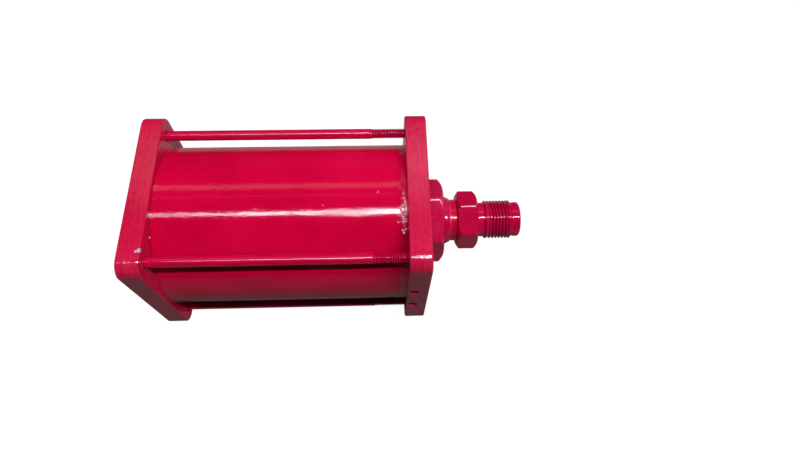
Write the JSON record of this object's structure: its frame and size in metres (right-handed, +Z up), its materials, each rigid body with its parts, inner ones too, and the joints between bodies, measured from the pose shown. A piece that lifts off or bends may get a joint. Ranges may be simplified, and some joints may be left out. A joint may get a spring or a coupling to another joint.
{
  "type": "pneumatic cylinder",
  "caption": "Short round-barrel air cylinder between square end plates held by long tie bolts, with a hexagon rod gland and a threaded rod-end stud.",
  "frame": {"origin": "centre of the rear plate's outer face, at the mouth of the rear air port", "axes": "+X along the rod towards the rod end; +Z up, away from the flat sides that the plates rest on; -Y is the side with the two small side ports"},
  "size_m": [0.1801, 0.0794, 0.0794],
  "materials": {
    "plate_paint": "gloss crimson spray paint over flat steel bar",
    "barrel_paint": "gloss crimson spray paint over smooth steel tube",
    "bolt_paint": "gloss crimson spray paint over screw threads and shanks",
    "gland_paint": "gloss crimson spray paint over a turned hexagon",
    "stud_paint": "gloss crimson spray paint over a turned and threaded stud",
    "wiper_rubber": "rubber lip, oversprayed crimson",
    "rod_chrome": "ground hard chrome; the neck left outside the gland is oversprayed crimson",
    "piston_alloy": "turned, bare",
    "plain_steel": "zinc-plated",
    "bush_bronze": "sintered bronze, oiled",
    "seal_rubber": "black nitrile rubber",
    "bumper_rubber": "black rubber",
    "wear_ring_plastic": "brown filled plastic"
  },
  "bodies": {
    "cylinder_body": {"rear_plate": "plate_paint", "front_plate": "plate_paint", "barrel": "barrel_paint", "tie_bolt_near_top": "bolt_paint", "tie_bolt_near_bottom": "bolt_paint", "tie_bolt_far_top": "bolt_paint", "tie_bolt_far_bottom": "bolt_paint", "rear_barrel_o_ring": "seal_rubber", "front_barrel_o_ring": "seal_rubber", "rear_bumper": "bumper_rubber", "front_bumper": "bumper_rubber", "rod_gland": "gland_paint", "gland_o_ring": "seal_rubber", "guide_bush": "bush_bronze", "rod_seal": "seal_rubber", "rod_wiper": "wiper_rubber"},
    "piston_seals": {"rear_piston_seal": "seal_rubber", "front_piston_seal": "seal_rubber", "wear_ring": "wear_ring_plastic"},
    "piston_and_rod": {"piston": "piston_alloy", "piston_o_ring": "seal_rubber", "piston_washer": "plain_steel", "piston_nut": "plain_steel", "piston_rod": "rod_chrome", "rod_end_stud": "stud_paint"}
  },
  "joints": [
    {"name": "rod_slide", "type": "slide", "parent": "cylinder_body", "child": "piston_seals", "axis": [1, 0, 0], "range_m": [0, 0.06985]},
    {"name": "rod_turn", "type": "hinge", "parent": "piston_seals", "child": "piston_and_rod", "pos_m": [0, 0, 0], "axis": [1, 0, 0], "continuous": true}
  ]
}
